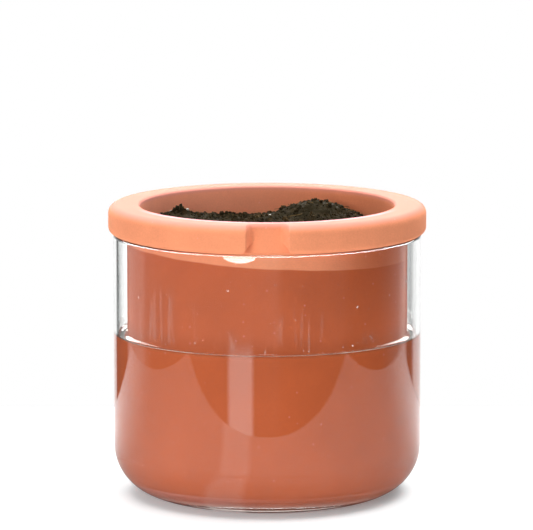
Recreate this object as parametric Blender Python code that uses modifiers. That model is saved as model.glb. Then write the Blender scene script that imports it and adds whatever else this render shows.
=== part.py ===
"""Self-watering terracotta planter: a clay pot that hangs by its rim in a glass of water."""
import math
import random

import bmesh
import bpy

# Glass vessel, metres
GLASS_HEIGHT = 0.1492      # foot to lip
GLASS_WALL = 0.0025
GLASS_FLOOR = 0.0045
GLASS_CORNER = 0.028       # outer radius of the large bottom corner

# Clay pot
POT_RADIUS = 0.0794        # outside of the straight wall
POT_WALL = 0.0073
POT_FLOOR = 0.0075
WATER_GAP = 0.0053         # from the pot's wall to the inside of the glass
BASE_GAP = 0.0025          # from the pot's base to the floor of the glass

# Rim
RIM_HEIGHT = 0.016
RIM_OVERHANG = 0.0028      # how far the rim stands out past the glass
RIM_TOP_ROUND = 0.005
RIM_UNDER_ROUND = 0.0035
MOUTH_ROUND = 0.0015

# Notch for pouring, at the front of the rim
NOTCH_WIDTH = 0.0205
NOTCH_DEPTH = 0.010
NOTCH_SIDE_ROUND = 0.004
NOTCH_FOOT_ROUND = 0.005
NOTCH_TOP_ROUND = 0.0025

# Fillings
WATER_DEPTH = 0.0879       # above the floor of the glass
SOIL_DROP = 0.0132         # from the top of the rim to the soil in the middle
SOIL_FALL = 0.035          # slope of the soil, down to the right and to the back
HEAP_HEIGHT = 0.0125       # the heap at the back right
HEAP_SPREAD = 0.0175
HEAP_X = 0.029
HEAP_Y = 0.036
MOUND_HEIGHT = 0.0032      # the low mound at the back left
MOUND_SPREAD = 0.016
MOUND_X = -0.052
MOUND_Y = 0.034
CLOD_HEIGHT = 0.0026       # of the largest clods on the soil
CLOD_RADIUS = 0.0075
CLOD_COUNT = 170

# Fits
SEAT_GAP = 0.0003          # between pieces that touch
CUTTER_MARGIN = 0.004      # how far a cutter runs past what it cuts

# Fineness of the turned shapes
TURN_STEPS = 72
CORNER_STEPS = 7
EDGE_STEPS = 5
SOIL_GRID = 48
SOIL_SEED = 5

# What follows from the sizes above
GLASS_BORE = POT_RADIUS + WATER_GAP
GLASS_RADIUS = GLASS_BORE + GLASS_WALL
POT_BORE = POT_RADIUS - POT_WALL
RIM_RADIUS = GLASS_RADIUS + RIM_OVERHANG
RIM_BOTTOM = GLASS_HEIGHT + SEAT_GAP
RIM_TOP = RIM_BOTTOM + RIM_HEIGHT
NOTCH_FACE = RIM_RADIUS - NOTCH_DEPTH
WATER_TOP = GLASS_FLOOR + WATER_DEPTH
CORNER_X = GLASS_RADIUS - GLASS_CORNER

CLAY = (0.80, 0.36, 0.20, 1.0)
CLEAR_GLASS = (0.93, 0.95, 0.95, 1.0)
CLEAR_WATER = (0.86, 0.92, 0.93, 1.0)
DARK_SOIL = (0.045, 0.030, 0.020, 1.0)


def remove_everything():
    for item in list(bpy.data.objects):
        bpy.data.objects.remove(item, do_unlink=True)


def new_collection(name):
    collection = bpy.data.collections.new(name)
    bpy.context.scene.collection.children.link(collection)
    return collection


def finish(name, colour, roughness, transmission=0.0):
    material = bpy.data.materials.new(name)
    material.use_nodes = True
    shader = material.node_tree.nodes["Principled BSDF"]
    shader.inputs["Base Color"].default_value = colour
    shader.inputs["Roughness"].default_value = roughness
    shader.inputs["Metallic"].default_value = 0.0
    shader.inputs["Transmission Weight"].default_value = transmission
    return material


def arc(centre, radius_x, radius_z, start_deg, end_deg, steps):
    """Points on an elliptical arc in the XZ plane, both ends included."""
    points = []
    for step in range(steps + 1):
        angle = math.radians(start_deg + (end_deg - start_deg) * step / steps)
        x = centre[0] + radius_x * math.cos(angle)
        z = centre[1] + radius_z * math.sin(angle)
        points.append((x, z))
    return points


def bottom_corner(outer_x, outer_z, start_deg, end_deg):
    """The big bottom corner of a cup whose wall is at outer_x and whose floor is at outer_z.

    Every cup here turns its corner about the centre of the glass's own corner.
    """
    centre = (CORNER_X, GLASS_CORNER)
    radius_x = outer_x - CORNER_X
    radius_z = GLASS_CORNER - outer_z
    return arc(centre, radius_x, radius_z, start_deg, end_deg, CORNER_STEPS)


def profile_mesh(name, points):
    """An open line of points in the XZ plane, as a mesh."""
    bm = bmesh.new()
    verts = [bm.verts.new((x, 0.0, z)) for x, z in points]
    for a, b in zip(verts, verts[1:]):
        bm.edges.new((a, b))
    mesh = bpy.data.meshes.new(name)
    bm.to_mesh(mesh)
    bm.free()
    return mesh


def turned(name, points, collection, material=None):
    """A profile turned about Z; it runs down the outer side of the piece."""
    item = bpy.data.objects.new(name, profile_mesh(name, points))
    collection.objects.link(item)
    screw = item.modifiers.new("turn", "SCREW")
    screw.axis = "Z"
    screw.steps = TURN_STEPS
    screw.render_steps = TURN_STEPS
    screw.use_merge_vertices = True
    screw.merge_threshold = 0.00001
    screw.use_smooth_shade = True
    if material:
        item.data.materials.append(material)
    return item


def extruded(name, outline, travel, collection):
    """A flat outline of 3D points, pushed along the vector travel."""
    bm = bmesh.new()
    face = bm.faces.new([bm.verts.new(point) for point in outline])
    grown = bmesh.ops.extrude_face_region(bm, geom=[face])
    moved = [part for part in grown["geom"] if isinstance(part, bmesh.types.BMVert)]
    bmesh.ops.translate(bm, verts=moved, vec=travel)
    bmesh.ops.recalc_face_normals(bm, faces=bm.faces)
    mesh = bpy.data.meshes.new(name)
    bm.to_mesh(mesh)
    bm.free()
    item = bpy.data.objects.new(name, mesh)
    collection.objects.link(item)
    return item


def as_cutter(item):
    item.display_type = "WIRE"
    item.hide_render = True
    return item


def cut(item, cutter, name):
    boolean = item.modifiers.new(name, "BOOLEAN")
    boolean.operation = "DIFFERENCE"
    boolean.solver = "EXACT"
    boolean.object = cutter


def glass_vessel(collection):
    """A cup: up the inside, over the fire-polished lip and down the outside."""
    lip = GLASS_WALL / 2
    lip_centre = (GLASS_BORE + lip, GLASS_HEIGHT - lip)
    points = [(0.0, GLASS_FLOOR)]
    points += bottom_corner(GLASS_BORE, GLASS_FLOOR, -90, 0)
    points += arc(lip_centre, lip, lip, 180, 0, EDGE_STEPS + 1)
    points += bottom_corner(GLASS_RADIUS, 0.0, 0, -90)
    points.append((0.0, 0.0))
    return turned("glass_vessel", points, collection, finish("clear_glass", CLEAR_GLASS, 0.02, 1.0))


def pot_profile():
    """The pot with its whole rim, before the notch is cut."""
    bore_floor = GLASS_FLOOR + BASE_GAP + POT_FLOOR
    base = GLASS_FLOOR + BASE_GAP
    mouth = (POT_BORE + MOUTH_ROUND, RIM_TOP - MOUTH_ROUND)
    shoulder = (RIM_RADIUS - RIM_TOP_ROUND, RIM_TOP - RIM_TOP_ROUND)
    under = (RIM_RADIUS - RIM_UNDER_ROUND, RIM_BOTTOM + RIM_UNDER_ROUND)
    points = [(0.0, bore_floor)]
    points += bottom_corner(POT_BORE, bore_floor, -90, 0)
    points += arc(mouth, MOUTH_ROUND, MOUTH_ROUND, 180, 90, 3)
    points += arc(shoulder, RIM_TOP_ROUND, RIM_TOP_ROUND, 90, 0, EDGE_STEPS)
    points += arc(under, RIM_UNDER_ROUND, RIM_UNDER_ROUND, 0, -90, EDGE_STEPS - 1)
    points.append((POT_RADIUS, RIM_BOTTOM))
    points += bottom_corner(POT_RADIUS, base, 0, -90)
    points.append((0.0, base))
    return points


def notch_core(cutters):
    """What the notch leaves standing: the wall behind it, rounded over at the mouth."""
    overshoot = NOTCH_TOP_ROUND / 50
    top = (NOTCH_FACE - NOTCH_TOP_ROUND, RIM_TOP - NOTCH_TOP_ROUND + overshoot)
    points = [(0.0, RIM_TOP + 2 * CUTTER_MARGIN)]
    points.append((top[0], RIM_TOP + 2 * CUTTER_MARGIN))
    points += arc(top, NOTCH_TOP_ROUND, NOTCH_TOP_ROUND, 90, 0, EDGE_STEPS)
    points.append((NOTCH_FACE, RIM_BOTTOM - 2 * CUTTER_MARGIN))
    points.append((0.0, RIM_BOTTOM - 2 * CUTTER_MARGIN))
    return as_cutter(turned("notch_core", points, cutters))


def notch_side_outline():
    """Seen from above: straight sides that turn out into the rim's outer face."""
    half = NOTCH_WIDTH / 2
    centre_x = half + NOTCH_SIDE_ROUND
    ring = RIM_RADIUS - NOTCH_SIDE_ROUND
    centre_y = -math.sqrt(ring ** 2 - centre_x ** 2)
    outward = math.degrees(math.atan2(centre_y, centre_x))
    side = arc((centre_x, centre_y), NOTCH_SIDE_ROUND, NOTCH_SIDE_ROUND, -180, outward, EDGE_STEPS)
    inside = (half, -(NOTCH_FACE - POT_WALL / 2))
    tangent = side[-1]
    reach = 1 + CUTTER_MARGIN / RIM_RADIUS
    outside = (tangent[0] * reach, tangent[1] * reach)
    right = [inside] + side + [outside]
    left = [(-x, y) for x, y in reversed(right)]
    return right + left


def notch_foot_outline():
    """Seen from the front: straight sides that turn out into the rim's underside."""
    half = NOTCH_WIDTH / 2
    centre = (half + NOTCH_FOOT_ROUND, RIM_BOTTOM + NOTCH_FOOT_ROUND)
    foot = arc(centre, NOTCH_FOOT_ROUND, NOTCH_FOOT_ROUND, -180, -90, EDGE_STEPS)
    top = (half, RIM_BOTTOM + RIM_HEIGHT / 2)
    below = (centre[0], RIM_BOTTOM - CUTTER_MARGIN / 4)
    right = [top] + foot + [below]
    left = [(-x, z) for x, z in reversed(right)]
    return right + left


def terracotta_pot(collection, cutters):
    """One clay body: wall, floor and rim, with the pouring notch cut through the rim."""
    pot = turned("terracotta_pot", pot_profile(), collection, finish("terracotta", CLAY, 0.85))
    core = notch_core(cutters)

    low = RIM_BOTTOM - CUTTER_MARGIN / 4
    plan = [(x, y, low) for x, y in notch_side_outline()]
    rise = RIM_TOP + CUTTER_MARGIN - low
    sides = as_cutter(extruded("notch_sides", plan, (0.0, 0.0, rise), cutters))
    cut(sides, core, "keep_wall")
    cut(pot, sides, "notch_sides")

    near = NOTCH_FACE - POT_WALL / 2
    front = [(x, -near, z) for x, z in notch_foot_outline()]
    run = RIM_RADIUS + CUTTER_MARGIN - near
    foot = as_cutter(extruded("notch_foot", front, (0.0, -run, 0.0), cutters))
    cut(foot, core, "keep_wall")
    cut(pot, foot, "notch_foot")
    return pot


def reservoir_water(collection):
    """Water between glass and pot, and in the thin space under the pot."""
    inner = POT_RADIUS + SEAT_GAP
    outer = GLASS_BORE - SEAT_GAP
    inner_floor = GLASS_FLOOR + BASE_GAP - SEAT_GAP
    outer_floor = GLASS_FLOOR + SEAT_GAP
    points = [(0.0, inner_floor)]
    points += bottom_corner(inner, inner_floor, -90, 0)
    points.append((inner, WATER_TOP))
    points.append((outer, WATER_TOP))
    points += bottom_corner(outer, outer_floor, 0, -90)
    points.append((0.0, outer_floor))
    return turned("reservoir_water", points, collection, finish("water", CLEAR_WATER, 0.0, 1.0))


def heap(x, y, centre_x, centre_y, height, spread):
    away = ((x - centre_x) ** 2 + (y - centre_y) ** 2) / (2 * spread ** 2)
    return height * math.exp(-away)


def scatter_clods():
    """Seeded clods, evenly spread over the soil and then pushed about a little."""
    rng = random.Random(SOIL_SEED)
    golden_angle = math.pi * (3 - math.sqrt(5))
    clods = []
    for number in range(CLOD_COUNT):
        away = POT_BORE * math.sqrt((number + 0.5) / CLOD_COUNT)
        x = away * math.cos(number * golden_angle) + rng.uniform(-0.5, 0.5) * CLOD_RADIUS
        y = away * math.sin(number * golden_angle) + rng.uniform(-0.5, 0.5) * CLOD_RADIUS
        size = rng.uniform(0.6, 1.0)
        clods.append((x, y, CLOD_RADIUS * size, CLOD_HEIGHT * size * rng.uniform(0.5, 1.0)))
    return clods


def clod_height(x, y, clods):
    """Height of the tallest clod over a place, measured from half the height of the clods."""
    tallest = 0.0
    for clod_x, clod_y, radius, height in clods:
        away = math.hypot(x - clod_x, y - clod_y) / radius
        tallest = max(tallest, height * (1 - away ** 2))
    return tallest - CLOD_HEIGHT / 2


def soil_height(x, y, clods):
    """Height of the soil over its level in the middle: a slope, a heap, a low mound and clods."""
    slope = -SOIL_FALL * (x + y)
    large = heap(x, y, HEAP_X, HEAP_Y, HEAP_HEIGHT, HEAP_SPREAD)
    small = heap(x, y, MOUND_X, MOUND_Y, MOUND_HEIGHT, MOUND_SPREAD)
    return slope + large + small + clod_height(x, y, clods)


def soil_block(cutters):
    """A block wider than the pot, whose top is the surface of the soil."""
    half = POT_BORE + CUTTER_MARGIN
    level = RIM_TOP - SOIL_DROP
    bm = bmesh.new()
    bmesh.ops.create_grid(bm, x_segments=SOIL_GRID, y_segments=SOIL_GRID, size=half)
    grown = bmesh.ops.extrude_face_region(bm, geom=bm.faces[:])
    top = [part for part in grown["geom"] if isinstance(part, bmesh.types.BMVert)]
    clods = scatter_clods()
    for vert in top:
        vert.co.z = level + soil_height(vert.co.x, vert.co.y, clods)
    bmesh.ops.recalc_face_normals(bm, faces=bm.faces)
    mesh = bpy.data.meshes.new("soil_block")
    bm.to_mesh(mesh)
    bm.free()
    item = bpy.data.objects.new("soil_block", mesh)
    cutters.objects.link(item)
    return as_cutter(item)


def potting_soil(collection, cutters):
    """The soil plug, turned as a filling up to the rim; the block leaves its heaped top."""
    radius = POT_BORE - SEAT_GAP
    base = GLASS_FLOOR + BASE_GAP + POT_FLOOR + SEAT_GAP
    points = [(0.0, RIM_TOP), (radius, RIM_TOP)]
    points += bottom_corner(radius, base, 0, -90)
    points.append((0.0, base))
    soil = turned("potting_soil", points, collection, finish("soil", DARK_SOIL, 0.95))
    trim = soil.modifiers.new("soil_top", "BOOLEAN")
    trim.operation = "INTERSECT"
    trim.solver = "EXACT"
    trim.object = soil_block(cutters)
    return soil


def build():
    remove_everything()
    planter = new_collection("self_watering_planter")
    cutters = new_collection("cutters")
    glass_vessel(planter)
    terracotta_pot(planter, cutters)
    reservoir_water(planter)
    potting_soil(planter, cutters)


build()
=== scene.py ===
# %% [markdown]
# # A self-watering planter: a clay pot hanging in a glass of water
# The planter is two loose pieces. A thick terracotta pot hangs by its rim in a clear glass cylinder, and
# water stands between them and soaks through the clay to the soil. This lesson dresses a finished
# construction model: its nodes give every size, and finer pieces take their places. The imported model
# is loaded first, so that each later cell can ask it where a piece is.

# %% Load the construction model
import math
import random

import bmesh
import bpy
import numpy as np
from mathutils import Euler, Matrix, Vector
from mathutils.bvhtree import BVHTree


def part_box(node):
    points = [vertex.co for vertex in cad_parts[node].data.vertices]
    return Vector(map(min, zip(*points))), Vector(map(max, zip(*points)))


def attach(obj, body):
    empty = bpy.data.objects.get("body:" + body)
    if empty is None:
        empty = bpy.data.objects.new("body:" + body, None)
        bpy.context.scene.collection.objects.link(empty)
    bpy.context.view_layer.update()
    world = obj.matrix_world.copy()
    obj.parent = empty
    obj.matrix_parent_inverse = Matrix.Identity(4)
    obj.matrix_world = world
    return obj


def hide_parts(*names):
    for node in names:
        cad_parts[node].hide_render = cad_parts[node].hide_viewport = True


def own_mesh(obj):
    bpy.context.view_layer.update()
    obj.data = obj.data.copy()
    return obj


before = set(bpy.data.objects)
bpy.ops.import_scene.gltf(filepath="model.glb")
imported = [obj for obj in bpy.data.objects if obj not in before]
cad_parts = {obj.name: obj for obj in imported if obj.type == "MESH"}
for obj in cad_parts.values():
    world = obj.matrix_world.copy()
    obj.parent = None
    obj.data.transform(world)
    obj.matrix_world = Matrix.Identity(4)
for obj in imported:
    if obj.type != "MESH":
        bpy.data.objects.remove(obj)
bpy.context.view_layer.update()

# %% [markdown]
# ## Sizes
# Every piece here is turned about the Z axis, so a few radii and heights say nearly all. They could be
# typed in again, but then they could drift from the model. They are read from the nodes' boxes instead,
# and only what a box doesn't show, such as a wall's thickness or a rounding, is written down.

# %% Read the sizes from the nodes
MM = 0.001

glass_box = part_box("glass_vessel")
pot_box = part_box("terracotta_pot")
water_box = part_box("reservoir_water")
soil_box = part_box("potting_soil")

FIT_GAP = 0.3 * MM                             # what the model leaves between touching pieces
glass_radius = glass_box[1].x
glass_height = glass_box[1].z
glass_wall = 2.5 * MM
glass_bore = glass_radius - glass_wall
glass_floor = 6.2 * MM
rim_radius = pot_box[1].x
rim_top = pot_box[1].z
rim_bottom = glass_height + FIT_GAP
pot_radius = 79.4 * MM
pot_bore = soil_box[1].x + FIT_GAP
pot_base = pot_box[0].z
bore_floor = soil_box[0].z - FIT_GAP
water_line = water_box[1].z

for label, size in (("glass radius", glass_radius), ("glass height", glass_height),
                    ("rim radius", rim_radius), ("rim top", rim_top),
                    ("pot bore", pot_bore), ("pot base", pot_base), ("water line", water_line)):
    print(f"{label}: {size / MM:.2f} mm")

# %% [markdown]
# ## Drawing a wall section
# A turned piece is a flat section swept round an axis. The section could be a curve object, but a mesh
# line keeps the number of points in hand. A plane is merged to one vertex, which is then extruded from
# corner to corner. The corners are rounded afterwards with a vertex bevel, as by hand. So a corner is
# written as its x and z, and one that gets rounded also has a radius and a number of steps.

# %% Helpers for a section
TOUCH = 0.01 * MM              # places nearer than this count as the same


def deselect():
    bpy.ops.object.select_all(action="DESELECT")


def only(item):
    """Makes one object the only one selected, and the active one."""
    deselect()
    item.select_set(True)
    bpy.context.view_layer.objects.active = item


def draw_section(name, corners):
    """A line of vertices in the XZ plane through the corners, left in edit mode."""
    deselect()
    bpy.ops.mesh.primitive_plane_add(size=MM)
    line = bpy.context.object
    line.name = name
    bpy.ops.object.mode_set(mode="EDIT")
    bpy.ops.mesh.merge(type="CENTER")
    x, z = corners[0]
    bpy.ops.transform.translate(value=(x, 0, z))
    for next_x, next_z, *_ in corners[1:]:
        bpy.ops.mesh.extrude_vertices_move(
            TRANSFORM_OT_translate={"value": (next_x - x, 0, next_z - z)})
        x, z = next_x, next_z
    for corner in corners:
        if len(corner) == 4:
            round_corner(line, *corner)
    return line


def pick_vertices(item, chosen):
    """Selects, in edit mode, the vertices whose place passes a test."""
    bm = bmesh.from_edit_mesh(item.data)
    for face in bm.faces:
        face.select = False
    for edge in bm.edges:
        edge.select = False
    for vert in bm.verts:
        vert.select = chosen(vert.co)
    bm.select_flush_mode()
    bmesh.update_edit_mesh(item.data)


def round_corner(line, x, z, radius, steps):
    """Rounds the section's corner at x, z with an arc."""
    pick_vertices(line, lambda co: math.hypot(co.x - x, co.z - z) < TOUCH)
    bpy.ops.mesh.bevel(offset_type="OFFSET", offset=radius, segments=steps, affect="VERTICES")

# %% [markdown]
# A long run would make long thin faces, so the runs are halved first. Spin then sweeps the section round.
# The seam and the poles come out double, and are merged.

# %% Helpers that divide, sweep and close
DOUBLED = 0.001 * MM           # vertices nearer than this are merged
SHARP = math.radians(40)       # edges that bend more than this stay sharp


def split_runs(line, longest, above=-1.0):
    """Halves the section's runs until none above a height is longer than wanted."""
    while True:
        bm = bmesh.from_edit_mesh(line.data)
        for vert in bm.verts:
            vert.select = False
        long_runs = 0
        for edge in bm.edges:
            low = min(vert.co.z for vert in edge.verts)
            edge.select = edge.calc_length() > longest and low > above
            long_runs += edge.select
        bmesh.update_edit_mesh(line.data)
        if not long_runs:
            return
        bpy.ops.mesh.subdivide(number_cuts=1)


def spin_round(line, steps):
    """Sweeps the section once round Z and closes the seam and the poles."""
    bpy.ops.mesh.select_all(action="SELECT")
    bpy.ops.mesh.spin(steps=steps, angle=2 * math.pi, center=(0, 0, 0), axis=(0, 0, 1))
    close_up(line)


def close_up(item):
    """Merges doubled vertices, turns the faces outwards and goes back to object mode."""
    bpy.ops.mesh.select_all(action="SELECT")
    bpy.ops.mesh.remove_doubles(threshold=DOUBLED)
    bpy.ops.mesh.normals_make_consistent(inside=False)
    bpy.ops.object.mode_set(mode="OBJECT")
    only(item)
    bpy.ops.object.shade_smooth_by_angle(angle=SHARP)
    triangles = sum(len(face.vertices) - 2 for face in item.data.polygons)
    print(f"{item.name}: {len(item.data.vertices)} vertices, {triangles} triangles")


def coordinates(item):
    """The item's vertex places as an array."""
    places = np.empty(len(item.data.vertices) * 3)
    item.data.vertices.foreach_get("co", places)
    return places.reshape(-1, 3)


def set_coordinates(item, places):
    item.data.vertices.foreach_set("co", places.ravel())
    item.data.update()

# %% [markdown]
# ## The glass cylinder
# The tank is one blown cylinder with a flat foot, a big rounded bottom corner and a lip melted in the
# flame. A cylinder with Solidify would give square lips and an even corner, so the whole wall is drawn as
# one closed section, inside and outside, and spun. The lip's outer shoulder is a little longer than the
# inner one, as melted glass sags. The foot is thicker than the wall. Smooth shading would let each bend
# tilt the mirror of the flat wall beside it, so an extra ring ends each bend.

# %% Spin the glass
GLASS_CORNER = 28.0 * MM
INNER_CORNER = 18.0 * MM
SHOULDER = 1.4 * MM            # height over which the outside curves in to the lip
HOLD = 0.4 * MM                # from the end of each bend to an extra ring that keeps the wall straight
GLASS_STEPS = 256
LONGEST_RUN = 12 * MM          # of the straight walls


def oval(centre_x, centre_z, reach_x, reach_z, start, end, steps):
    """Points on an arc of an ellipse, from one angle to another in degrees."""
    points = []
    for step in range(steps + 1):
        angle = math.radians(start + (end - start) * step / steps)
        points.append((centre_x + reach_x * math.cos(angle), centre_z + reach_z * math.sin(angle)))
    return points


half_wall = glass_wall / 2
lip_middle = glass_bore + half_wall
inner_bend, outer_bend = INNER_CORNER + HOLD, GLASS_CORNER + HOLD
glass_section = [(0, glass_floor), (glass_bore - inner_bend, glass_floor),
                 (glass_bore, glass_floor, INNER_CORNER, 14),
                 (glass_bore, glass_floor + inner_bend), (glass_bore, glass_height - half_wall - HOLD)]
glass_section += oval(lip_middle, glass_height - half_wall, half_wall, half_wall, 180, 90, 6)
glass_section += oval(lip_middle, glass_height - SHOULDER, half_wall, SHOULDER, 90, 0, 14)[1:]
glass_section += [(glass_radius, glass_height - SHOULDER - HOLD), (glass_radius, outer_bend),
                  (glass_radius, 0, GLASS_CORNER, 16), (glass_radius - outer_bend, 0), (0, 0)]
glass = draw_section("glass_cylinder", glass_section)
split_runs(glass, LONGEST_RUN)
spin_round(glass, GLASS_STEPS)

# %% [markdown]
# ## The clay pot
# The pot is cast in one piece: a straight thick wall, a closed floor and a heavy rounded rim that rests on
# the glass. Its front has a notch, through which water is poured. The section is spun in two goes: coarse
# round the back, and fine over the front, where the notch needs many narrow faces.

# %% Spin the pot, finer at the front
POT_CORNER = 20.5 * MM
BORE_CORNER = 13.2 * MM
MOUTH_ROUND = 1.5 * MM
RIM_TOP_ROUND = 5.0 * MM
RIM_UNDER_ROUND = 3.5 * MM
NECK_ROUND = 0.8 * MM
FRONT_FAN = math.radians(26)   # the front part that is spun finely
FRONT_STEPS = 120
BACK_STEPS = 230
RIM_RUN, WALL_RUN = 1.0 * MM, 9.0 * MM         # longest runs of the rim and of the rest

pot = draw_section("clay_pot", [
    (0, bore_floor), (pot_bore, bore_floor, BORE_CORNER, 10), (pot_bore, rim_top, MOUTH_ROUND, 6),
    (rim_radius, rim_top, RIM_TOP_ROUND, 10), (rim_radius, rim_bottom, RIM_UNDER_ROUND, 8),
    (pot_radius, rim_bottom, NECK_ROUND, 3), (pot_radius, pot_base, POT_CORNER, 14), (0, pot_base)])
split_runs(pot, RIM_RUN, above=rim_bottom - TOUCH)
split_runs(pot, WALL_RUN)

rim_line = [tuple(vert.co.xz) for vert in bmesh.from_edit_mesh(pot.data).verts
            if vert.co.z > rim_bottom - TOUCH and vert.co.x > pot_bore + MOUTH_ROUND - TOUCH]

bpy.ops.mesh.select_all(action="SELECT")
fan_start = math.pi / 2 + FRONT_FAN / 2
bpy.ops.transform.rotate(value=fan_start, orient_axis="Z", center_override=(0, 0, 0))
bpy.ops.mesh.spin(steps=BACK_STEPS, angle=2 * math.pi - FRONT_FAN, center=(0, 0, 0), axis=(0, 0, 1))
bpy.ops.mesh.spin(steps=FRONT_STEPS, angle=FRONT_FAN, center=(0, 0, 0), axis=(0, 0, 1))
close_up(pot)

# %% [markdown]
# ## The pouring notch
# In the mould a finger-wide slot runs down through the rim, so the wall behind it shows bare. Cutting it
# with a Boolean would leave hard edges, and the real ones are soft, as clay shrinks and is sponged. So the
# rim's skin is pushed back instead: each point of the rim slides to the matching point of the narrow
# section that the notch leaves, fully in the middle and fading out over its two sides.

# %% Draw the rim's section and the notch's
NOTCH_FACE = 80.0 * MM         # radius of the wall at the bottom of the notch
NOTCH_TOP_ROUND = 2.5 * MM


def along(points):
    """Share of a line's length at each of its points, from 0 to 1."""
    steps = np.hypot(*np.diff(points, axis=0).T)
    length = np.concatenate([[0], np.cumsum(steps)])
    return length / length[-1]


def rim_order(point):
    """Sorts the rim's points from the mouth over the top and down to the neck."""
    centre_x, centre_z = pot_radius, (rim_top + rim_bottom) / 2
    return -math.atan2(point[1] - centre_z, point[0] - centre_x)


rim_points = np.array(sorted(rim_line, key=rim_order))
rim_share = along(rim_points)

bend = np.radians(np.linspace(90, 0, 12))
bend_centre = (NOTCH_FACE - NOTCH_TOP_ROUND, rim_top - NOTCH_TOP_ROUND)
notch_line = np.vstack([
    [rim_points[0]],
    np.column_stack([bend_centre[0] + NOTCH_TOP_ROUND * np.cos(bend),
                     bend_centre[1] + NOTCH_TOP_ROUND * np.sin(bend)]),
    [(NOTCH_FACE, rim_bottom)],
    [rim_points[-1]],
])
notch_share = along(notch_line)
print("sections:", len(rim_points), "points of the rim,", len(notch_line), "of the notch")

# %% [markdown]
# Each point of the rim's skin finds the point of the rim's section that it lies on, and that point's share
# of the way round. The same share of the notch's section is where it has to go.

# %% Push the notch into the rim
NOTCH_WIDTH = 20.8 * MM
NOTCH_SIDE = 5.0 * MM          # width of each soft side
SIDE_OUTSIDE = 0.29            # share of it that lies outside the notch's width
NOTCH_FLARE = 3.4 * MM         # how far the notch opens out at the rim's underside


def soft_side(value):
    """Falls in quickly at the rim's face and runs out slowly on the bottom of the notch."""
    return 1 - (1 - np.clip(value, 0, 1) ** 1.3) ** 5


places = coordinates(pot)
reach = np.hypot(places[:, 0], places[:, 1])
front = (np.abs(places[:, 0]) < NOTCH_WIDTH) & (places[:, 1] < 0)
on_rim = (places[:, 2] > rim_bottom - TOUCH) & (reach > rim_points[0][0] - TOUCH)
moved = np.flatnonzero(front & on_rim)

flat = np.column_stack([reach[moved], places[moved, 2]])
nearest = np.array([np.argmin(np.hypot(*(rim_points - point).T)) for point in flat])
share = rim_share[nearest]
target = np.column_stack([np.interp(share, notch_share, notch_line[:, 0]),
                          np.interp(share, notch_share, notch_line[:, 1])])

drop = np.clip(NOTCH_FLARE - (flat[:, 1] - rim_bottom), 0, NOTCH_FLARE)
flare = NOTCH_FLARE - np.sqrt(NOTCH_FLARE ** 2 - drop ** 2)
half_width = NOTCH_WIDTH / 2 + flare
inward = half_width + NOTCH_SIDE * SIDE_OUTSIDE - np.abs(places[moved, 0])
pull = soft_side(inward / NOTCH_SIDE)
pushed = flat + (target - flat) * pull[:, None]
scale = pushed[:, 0] / flat[:, 0]
places[moved, 0] *= scale
places[moved, 1] *= scale
places[moved, 2] = pushed[:, 1]
set_coordinates(pot, places)
print(f"notch: {len(moved)} rim points, {np.count_nonzero(pull > 0)} of them pushed back")

# %% [markdown]
# ## The water
# Water wets both glass and clay, so its surface curls up at both. In a picture the contact matters more:
# with even a hair of air left between water and glass, light would be thrown back at the gap, and the clay
# would look thin and dark. The water's skin therefore lies just inside the glass and just inside the
# clay, so that each ray passes straight from one to the next.

# %% Spin the water with its curled edges
GLASS_CONTACT = 0.1 * MM       # how deep the water's skin lies in the glass
CLAY_CONTACT = 0.3 * MM        # and in the clay
CURL_DROP = 0.8 * MM           # from the model's water line to the flat middle
CURL_REACH = 1.1 * MM          # distance in which the curl falls to about a third
GLASS_CURL = 1.6 * MM
CLAY_CURL = 1.3 * MM
CURL_POINTS = 14

outer_skin = glass_bore + GLASS_CONTACT
inner_skin = pot_radius - CLAY_CONTACT
still_level = water_line - CURL_DROP


def surface_height(x):
    from_glass = max(glass_bore - x, 0)
    from_clay = max(x - pot_radius, 0)
    rise = GLASS_CURL * math.exp(-from_glass / CURL_REACH) + CLAY_CURL * math.exp(-from_clay / CURL_REACH)
    return still_level + rise


def ease(share):
    """Spaces points closely at both ends of a run."""
    return (1 - math.cos(math.pi * share)) / 2


crossing = [outer_skin + (inner_skin - outer_skin) * ease(step / CURL_POINTS)
            for step in range(CURL_POINTS + 1)]
water_floor, water_ceiling = glass_floor - GLASS_CONTACT, pot_base + CLAY_CONTACT
water_section = [(0, water_floor), (outer_skin, water_floor, INNER_CORNER + GLASS_CONTACT, 14)]
water_section += [(x, surface_height(x)) for x in crossing]
water_section += [(inner_skin, water_ceiling, POT_CORNER - CLAY_CONTACT, 14), (0, water_ceiling)]
water = draw_section("tank_water", water_section)
split_runs(water, LONGEST_RUN)
spin_round(water, GLASS_STEPS)

# %% [markdown]
# ## The soil
# The soil fills the bore, slopes down to the back and is heaped at the back right. It could be sculpted,
# but the construction model has its slope already. So a plug is spun with a fine, even, flat top first.

# %% Spin the soil plug
SOIL_RADIUS = pot_bore - 0.5 * MM
SOIL_STEPS = 230
EDGE_ROUND = 1.6 * MM
FLAT_LEVEL = rim_top - 19.0 * MM
TOP_RUN, SIDE_RUN = 0.9 * MM, 2.5 * MM

soil_base = bore_floor + 1.2 * MM
soil = draw_section("soil_bed", [(0, FLAT_LEVEL), (SOIL_RADIUS, FLAT_LEVEL, EDGE_ROUND, 4),
                                 (SOIL_RADIUS, soil_base, BORE_CORNER, 8), (0, soil_base)])
split_runs(soil, TOP_RUN, above=FLAT_LEVEL - 2 * EDGE_ROUND)
split_runs(soil, SIDE_RUN)
spin_round(soil, SOIL_STEPS)

# %% [markdown]
# Its top is then raised onto the construction model's soil. A Shrinkwrap could do that, but it would fold
# the edge. Here the side below the edge is stretched along, a little less with each step down.

# %% Raise its top onto the model's soil
STRETCH_DEPTH = 30.0 * MM      # how far down the side is stretched along
TOP_SINK = 0.3 * MM            # how far under the model's top it lands, as clouds and crumbs add height
TOP_EDGE = 0.3 * MM            # so narrow an outermost ring counts as side

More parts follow.
